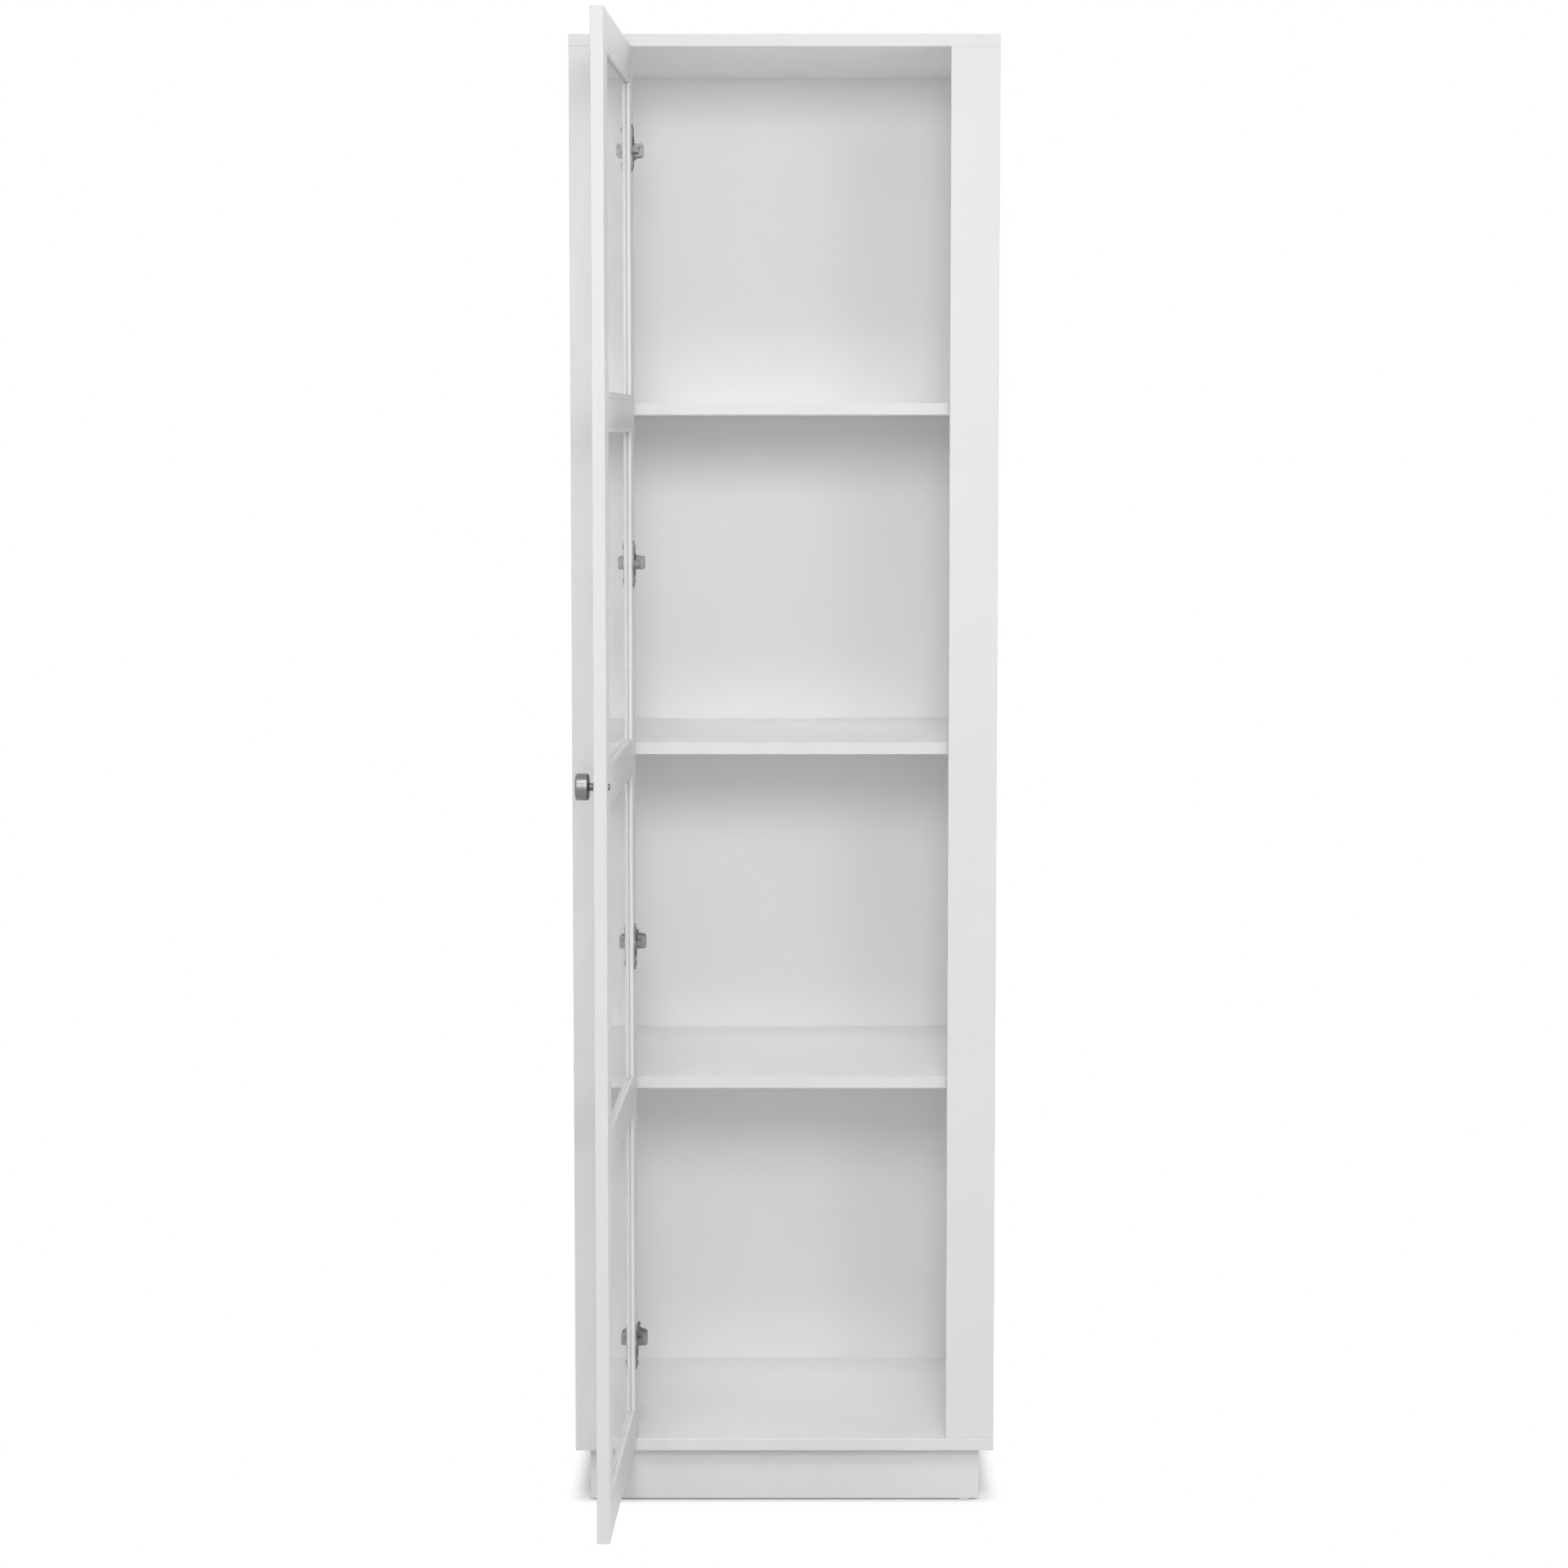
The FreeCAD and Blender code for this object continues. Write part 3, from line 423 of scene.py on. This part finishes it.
def makeKnob(sizes):
    back = sizes["neckLength"]
    front = back + sizes["thick"]
    edge = sizes["head"] - sizes["rounding"]
    profile = [(0, 0), (sizes["neck"], 0), (sizes["neck"], sizes["foot"])]
    waistLength = back - sizes["waistFrom"] - sizes["waistShort"]
    for i in range(sizes["waistSteps"] + 1):
        t = i / sizes["waistSteps"]
        pinch = (sizes["neck"] - sizes["waist"]) * math.sin(math.pi * t)
        profile.append((sizes["neck"] - pinch, sizes["waistFrom"] + t * waistLength))
    profile.append((sizes["neck"] + sizes["shoulder"], back))
    profile += quarter(edge, back + sizes["rounding"], sizes["rounding"], -90)
    profile += quarter(edge, front - sizes["dome"] - sizes["rounding"], sizes["rounding"], 0)
    for i in range(1, sizes["domeSteps"] + 1):     # the slightly domed front
        radius = edge * (1 - i / sizes["domeSteps"])
        profile.append((radius, front - sizes["dome"] * (radius / edge) ** 2))
    shape = turned(profile, sizes["around"])
    toDoor = Matrix.Translation(knobSeat) @ Matrix.Rotation(math.pi / 2, 4, "X")
    shape.transform(places["door"] @ toDoor)
    mesh = toMesh(shape, "knobTurned")
    return finishPiece("knobTurned", mesh, "door", "knob_nickel", ["knob"], smoothing["knob"])


makeKnob(knob)
print("knob")


# ---- screws, pins, cams and glides: one tree that repeats a turned fastener ----

facets = {"Head": 32, "Collar": 32, "Shank": 20, "Dome": 24}     # sides round it, rings of the dome


def hardwareTree():
    # inputs in metres; a piece stands on its place with its head along the place's axis
    tree = bpy.data.node_groups.new("turnedHardware", "GeometryNodeTree")
    sizes = {"Head Radius": 4 * mm, "Head Height": 2 * mm, "Dome Radius": 5 * mm,
             "Collar Radius": 1 * mm, "Collar Height": 0.5 * mm, "Shank Radius": 2 * mm,
             "Shank Length": 10 * mm, "Recess Length": 4 * mm, "Recess Width": 0.8 * mm,
             "Recess Cutter": 1.6 * mm}
    tree.interface.new_socket("Places", in_out="INPUT", socket_type="NodeSocketGeometry")
    for name, value in sizes.items():
        socket = tree.interface.new_socket(name, in_out="INPUT", socket_type="NodeSocketFloat")
        socket.default_value = value
    seed = tree.interface.new_socket("Turn Seed", in_out="INPUT", socket_type="NodeSocketInt")
    seed.default_value = 1
    tree.interface.new_socket("Finish", in_out="INPUT", socket_type="NodeSocketMaterial")
    tree.interface.new_socket("Pieces", in_out="OUTPUT", socket_type="NodeSocketGeometry")
    given = addNode(tree, "NodeGroupInput").outputs

    drums = {}
    lengths = {"Head": "Head Height", "Collar": "Collar Height", "Shank": "Shank Length"}
    for part, length in lengths.items():
        radius = given[part + " Radius"]
        drums[part] = addNode(tree, "GeometryNodeMeshCone", {
            "Vertices": facets[part], "Radius Top": radius, "Radius Bottom": radius,
            "Depth": given[length]}).outputs[0]

    # the head is a drum capped by a flattened ball, then come the shank below it and its collar
    stretch = addNode(tree, "ShaderNodeCombineXYZ", {0: given["Dome Radius"], 1: given["Dome Radius"],
                                                     2: given["Head Height"]})
    ball = addNode(tree, "GeometryNodeMeshUVSphere", {"Segments": facets["Head"],
                                                      "Rings": facets["Dome"], "Radius": 1.0})
    dome = addNode(tree, "GeometryNodeTransform", {"Geometry": ball.outputs[0],
                                                   "Scale": stretch.outputs[0]})
    cap = addNode(tree, "GeometryNodeMeshBoolean", operation="INTERSECT", solver="EXACT")
    for mesh in (drums["Head"], dome.outputs[0]):
        tree.links.new(mesh, cap.inputs["Mesh 2"])
    shank = addNode(tree, "GeometryNodeTransform", {"Geometry": drums["Shank"],
                                                    "Rotation": (math.pi, 0, 0)})
    whole = addNode(tree, "GeometryNodeMeshBoolean", operation="UNION", solver="EXACT")
    for mesh in (cap.outputs[0], shank.outputs[0], drums["Collar"]):
        tree.links.new(mesh, whole.inputs["Mesh 2"])

    # two crossed bars are cut from the top of the head
    top = addNode(tree, "ShaderNodeCombineXYZ", {"Z": given["Head Height"]})
    cut = addNode(tree, "GeometryNodeMeshBoolean", {"Mesh 1": whole.outputs[0]},
                  operation="DIFFERENCE", solver="EXACT")
    for across, along in (("Recess Length", "Recess Width"), ("Recess Width", "Recess Length")):
        size = addNode(tree, "ShaderNodeCombineXYZ", {0: given[across], 1: given[along],
                                                      2: given["Recess Cutter"]})
        cube = addNode(tree, "GeometryNodeMeshCube", {"Size": size.outputs[0]})
        raised = addNode(tree, "GeometryNodeTransform", {"Geometry": cube.outputs[0],
                                                         "Translation": top.outputs[0]})
        tree.links.new(raised.outputs[0], cut.inputs["Mesh 2"])

    # each one points along its place's axis and is turned about it by chance, as screws are
    axis = addNode(tree, "GeometryNodeInputNamedAttribute", {"Name": "axis"},
                   data_type="FLOAT_VECTOR")
    upright = addNode(tree, "FunctionNodeAlignRotationToVector", {"Vector": axis.outputs[0]}, axis="Z")
    chance = addNode(tree, "FunctionNodeRandomValue", {"Min": 0.0, "Max": math.pi,
                                                       "Seed": given["Turn Seed"]}, data_type="FLOAT")
    spin = addNode(tree, "ShaderNodeCombineXYZ", {"Z": chance.outputs[1]})
    turn = addNode(tree, "FunctionNodeRotateRotation", {"Rotation": upright.outputs[0],
                                                        "Rotate By": spin.outputs[0]},
                   rotation_space="LOCAL")
    spread = addNode(tree, "GeometryNodeInstanceOnPoints", {
        "Points": given["Places"], "Instance": cut.outputs[0], "Rotation": turn.outputs[0]})
    real = addNode(tree, "GeometryNodeRealizeInstances", {"Geometry": spread.outputs[0]})
    done = addNode(tree, "GeometryNodeSetMaterial", {"Geometry": real.outputs[0],
                                                     "Material": given["Finish"]})
    addNode(tree, "NodeGroupOutput", {"Pieces": done.outputs[0]})
    return tree


hardware = hardwareTree()


def solidsOf(node):
    # the box of each solid of a node as a low and a high corner, with the door shut
    shape = mergedCopy(node)
    shape.transform(places[bodyOf[node]].inverted())
    boxes = []
    waiting = set(shape.verts)
    while waiting:
        island = {waiting.pop()}
        edge = set(island)
        while edge:
            edge = {link.other_vert(v) for v in edge for link in v.link_edges} - island
            island |= edge
        waiting -= island
        boxes.append([Vector([pick(v.co[i] for v in island) for i in range(3)])
                      for pick in (min, max)])
    shape.free()
    return sorted(boxes, key=lambda box: [round(box[0][i], 4) for i in (2, 0, 1)])


def repeatHardware(name, body, slot, seats, sizes, stands=()):
    # one mesh of equal fasteners; seats hold a point and an axis each, with the door shut
    place = places[body]
    cloud = bpy.data.meshes.new(name)
    cloud.from_pydata([place @ Vector(point) for point, _ in seats], [], [])
    axes = cloud.attributes.new("axis", "FLOAT_VECTOR", "POINT")
    for i, (_, axis) in enumerate(seats):
        axes.data[i].vector = (place.to_3x3() @ Vector(axis)).normalized()
    holder = bpy.data.objects.new(name + "Points", cloud)
    scene.collection.objects.link(holder)
    modifier = holder.modifiers.new("hardware", "NODES")
    modifier.node_group = hardware
    values = {**sizes, "Finish": materials[slot]}
    for socket in hardware.interface.items_tree:
        if socket.in_out == "INPUT" and socket.name in values:
            modifier[socket.identifier] = values[socket.name]
    evaluated = holder.evaluated_get(bpy.context.evaluated_depsgraph_get())
    mesh = bpy.data.meshes.new_from_object(evaluated)
    mesh.name = name
    bpy.data.objects.remove(holder)
    shape = bmesh.new()
    shape.from_mesh(mesh)
    bmesh.ops.remove_doubles(shape, verts=shape.verts, dist=sameSpot / 10)
    shape.to_mesh(mesh)
    shape.free()
    mesh.validate()                    # drops faces that the merge has doubled
    return finishPiece(name, mesh, body, slot, stands, smoothing["hardware"])


toRight, toBack = Vector((1, 0, 0)), Vector((0, 1, 0))     # where screw heads look, with the door shut


def seatsOn(node, axis, depth):
    # the middle of each solid's face that looks along the axis, moved in by the head's height
    seats = []
    for low, high in solidsOf(node):
        middle = (low + high) / 2
        reach = abs((high - low).dot(axis)) / 2
        seats.append((middle + axis * (reach - depth), axis))
    return seats


def screws(name, node, axis, sizes):
    seats = seatsOn(node, axis, sizes["Head Height"])
    repeatHardware(name, bodyOf[node], slotFor(node), seats, sizes, [node])


countersunk = {"Head Radius": 3.8 * mm, "Head Height": 1.6 * mm, "Dome Radius": 4.5 * mm,
               "Shank Radius": 1.75 * mm, "Shank Length": 12.8 * mm, "Recess Length": 4.4 * mm,
               "Recess Width": 0.9 * mm, "Recess Cutter": 2.2 * mm, "Turn Seed": 3}
plateScrew = {**countersunk, "Shank Radius": 2.5 * mm, "Shank Length": 17 * mm, "Turn Seed": 5}
armScrew = {**countersunk, "Head Radius": 4.2 * mm, "Dome Radius": 6.5 * mm, "Shank Radius": 2 * mm,
            "Shank Length": 17.5 * mm, "Turn Seed": 7}
knobScrew = {"Head Radius": 4.2 * mm, "Head Height": 2.4 * mm, "Dome Radius": 5.2 * mm,
             "Shank Radius": 2 * mm, "Shank Length": 29.7 * mm, "Recess Length": 4.6 * mm,
             "Recess Width": 0.9 * mm, "Recess Cutter": 2.8 * mm, "Turn Seed": 2}
screws("cupScrews", "cup_screws", toBack, countersunk)
screws("plateScrews", "plate_screws", toRight, plateScrew)
screws("armScrews", "arm_screws", toRight, armScrew)
screws("knobScrew", "knob_screw", toBack, knobScrew)

# the small screw in front of each arm's fixing screw, which shifts the door sideways
adjuster = {"face": -201 * mm, "depth": 52 * mm}     # the arm's outer face, and how far back it sits
adjusterSeats = [((adjuster["face"], adjuster["depth"], (low.z + high.z) / 2), toRight)
                 for low, high in solidsOf("hinge_arms")]
repeatHardware("adjustingScrews", "carcass", "screw_steel", adjusterSeats, {
    **armScrew, "Head Radius": 3.1 * mm, "Head Height": 1.1 * mm, "Dome Radius": 4 * mm,
    "Shank Length": 6 * mm, "Recess Length": 3.6 * mm, "Recess Cutter": 1.6 * mm, "Turn Seed": 11})


def sideways(node, depth):
    # seats of fittings in the inner faces of the side panels that point inwards
    seats = []
    for low, high in solidsOf(node):
        middle = (low + high) / 2
        sign = -1 if middle.x > 0 else 1
        tip = low.x if sign < 0 else high.x
        seats.append(((tip - sign * depth, middle.y, middle.z), (sign, 0, 0)))
    return seats


camDisc = {"Head Radius": 7.4 * mm, "Head Height": 12.3 * mm, "Dome Radius": 30 * mm,
           "Shank Radius": 2 * mm, "Shank Length": 0.1 * mm, "Recess Length": 7 * mm,
           "Recess Width": 1.6 * mm, "Recess Cutter": 6 * mm, "Turn Seed": 4}
camSeats = sideways("cam_housings", camDisc["Head Height"])
repeatHardware("camHousings", "carcass", "zinc_casting", camSeats, camDisc, ["cam_housings"])
shelfPin = {"Head Radius": 2.45 * mm, "Head Height": 8 * mm, "Dome Radius": 2.65 * mm,
            "Collar Radius": 4 * mm, "Collar Height": 0.9 * mm, "Shank Radius": 2.45 * mm,
            "Shank Length": 9 * mm, "Recess Length": 0.2 * mm, "Recess Width": 0.2 * mm,
            "Recess Cutter": 0.2 * mm}
pinSeats = sideways("shelf_pins", shelfPin["Head Height"])
repeatHardware("shelfPins", "carcass", "nickel_steel", pinSeats, shelfPin, ["shelf_pins"])
glide = {"Head Radius": 9.5 * mm, "Head Height": 3 * mm, "Dome Radius": 11 * mm,
         "Shank Radius": 1 * mm, "Shank Length": 12 * mm, "Recess Length": 2.4 * mm,
         "Recess Width": 2.4 * mm, "Recess Cutter": 1.6 * mm, "Turn Seed": 9}
glideSeats = [((*((low + high) / 2).xy, glide["Head Height"]), (0, 0, -1))
              for low, high in solidsOf("foot_glides")]
repeatHardware("footGlides", "carcass", "white_plastic", glideSeats, glide, ["foot_glides"])
print("screws, pins, cams and glides")


# ---- floor, light and camera ----

floor = {
    "half": 9,                         # metres
    "tone": "#e6e6e6",                 # of the paint, which throws light back up
    "reach": 35 * mm,                  # from the plinth, where its shadow has faded into the white
}


def seenRays(tree):
    # 1 where the camera, a reflection or a ray through glass looks, 0 for the light itself
    lightPath = addNode(tree, "ShaderNodeLightPath").outputs
    first = addNode(tree, "ShaderNodeMath", {0: lightPath["Is Camera Ray"],
                                             1: lightPath["Is Glossy Ray"]}, operation="MAXIMUM")
    return addNode(tree, "ShaderNodeMath", {0: first.outputs[0], 1: lightPath["Is Transmission Ray"]},
                   operation="MAXIMUM").outputs[0]


def makeFloor(sizes):
    mesh = bpy.data.meshes.new("floor")
    half = sizes["half"]
    mesh.from_pydata([(-half, -half, 0), (half, -half, 0), (half, half, 0), (-half, half, 0)], [],
                     [(0, 1, 2, 3)])
    material = bpy.data.materials.new("paintedStudioFloor")
    material.use_nodes = True
    tree = material.node_tree
    tree.nodes.clear()
    paint = addNode(tree, "ShaderNodeBsdfDiffuse", {"Color": linear(sizes["tone"])})
    place = addNode(tree, "ShaderNodeTexCoord").outputs["Object"]
    low, high = Vector(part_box("plinth_side_left")[0]), Vector(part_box("plinth_side_right")[1])
    middle, inside = (low + high) / 2, (high - low) / 2
    steps = [("SUBTRACT", (middle.x, middle.y, 0)), ("ABSOLUTE", None), ("SUBTRACT", inside),
             ("MAXIMUM", (0, 0, 0)), ("LENGTH", None)]     # to the distance from the plinth's outline
    for operation, other in steps:
        inputs = {0: place} if other is None else {0: place, 1: other}
        away = addNode(tree, "ShaderNodeVectorMath", inputs, operation=operation)
        place = away.outputs[0]
    far = addNode(tree, "ShaderNodeMapRange", {"Value": away.outputs["Value"],
                                               "From Max": sizes["reach"]},
                  interpolation_type="SMOOTHSTEP")
    plain = addNode(tree, "ShaderNodeMath", {0: seenRays(tree), 1: far.outputs[0]},
                    operation="MULTIPLY")
    white = addNode(tree, "ShaderNodeEmission")
    whole = addNode(tree, "ShaderNodeMixShader", {0: plain.outputs[0], 1: paint.outputs[0],
                                                  2: white.outputs[0]})
    addNode(tree, "ShaderNodeOutputMaterial", {"Surface": whole.outputs[0]})
    mesh.materials.append(material)
    thing = bpy.data.objects.new("floor", mesh)
    scene.collection.objects.link(thing)


makeFloor(floor)

sky = {"light": 0.18}                  # what it lights the bookcase with; where it is seen it is white
world = bpy.data.worlds.new("studio")
world.use_nodes = True
scene.world = world
tree = world.node_tree
tree.nodes.clear()
strength = addNode(tree, "ShaderNodeMapRange", {"Value": seenRays(tree), "To Min": sky["light"],
                                                "To Max": 1})
studio = addNode(tree, "ShaderNodeBackground", {"Color": (1, 1, 1, 1),
                                                "Strength": strength.outputs[0]})
addNode(tree, "ShaderNodeOutputWorld", {"Surface": studio.outputs[0]})

# soft boxes: the angle from the front to the right and the one up from level, in degrees, how far from
# the bookcase and how wide, in metres, and the power in watts
lamps = {
    "softBoxFront": {"azimuth": 0, "elevation": 19, "distance": 3.7, "size": 0.8, "power": 30},
    "softBoxLow": {"azimuth": 0, "elevation": 8, "distance": 7.9, "size": 1.2, "power": 20},
    "softBoxHigh": {"azimuth": 0, "elevation": 52, "distance": 14, "size": 3.4, "power": 550},
    "softBoxFar": {"azimuth": 20, "elevation": 16, "distance": 7.8, "size": 1.2, "power": 38},
    "softBoxRight": {"azimuth": 30, "elevation": 19, "distance": 3.7, "size": 0.8, "power": 8},
    "softBoxSide": {"azimuth": 72, "elevation": 4, "distance": 3.2, "size": 1, "power": 12},
    "softBoxLeft": {"azimuth": -34, "elevation": 19, "distance": 3.7, "size": 0.8, "power": 10},
    "softBoxBackLeft": {"azimuth": -118, "elevation": 24, "distance": 5, "size": 1.5, "power": 105},
    "softBoxBackRight": {"azimuth": 125, "elevation": 24, "distance": 5, "size": 1.5, "power": 105},
}
aim = Vector((0, 0, 1.0))              # all look at the middle of the bookcase
mirrorLimit = 60                       # degrees; lamps further round aren't mirrored in the panes
for name, lamp in lamps.items():
    light = bpy.data.lights.new(name, "AREA")
    light.shape = "SQUARE"
    light.size = lamp["size"]
    light.energy = lamp["power"]
    thing = bpy.data.objects.new(name, light)
    azimuth, elevation = math.radians(lamp["azimuth"]), math.radians(lamp["elevation"])
    away = Vector((math.sin(azimuth) * math.cos(elevation), -math.cos(azimuth) * math.cos(elevation),
                   math.sin(elevation)))
    thing.location = aim + away * lamp["distance"]
    thing.rotation_euler = away.to_track_quat("Z", "Y").to_euler()
    thing.visible_camera = False       # no lamp shows in the picture or through a pane
    thing.visible_transmission = False
    thing.visible_glossy = abs(lamp["azimuth"]) < mirrorLimit
    scene.collection.objects.link(thing)

view = {
    "place": (-0.0007, -4.3008, 1.4703),
    "down": 4.56,                      # degrees below level
    "lens": 73.62,                     # millimetres, on a sensor of 36
    "shift": -0.06,                    # of the picture's height
}
cameraData = bpy.data.cameras.new("camera")
cameraData.lens = view["lens"]
cameraData.sensor_width = 36
cameraData.shift_y = view["shift"]
camera = bpy.data.objects.new("camera", cameraData)
camera.location = view["place"]
camera.rotation_euler = (math.radians(90 - view["down"]), 0, 0)
scene.collection.objects.link(camera)
scene.camera = camera
scene.view_settings.view_transform = "Standard"
print("floor, lamps and camera")
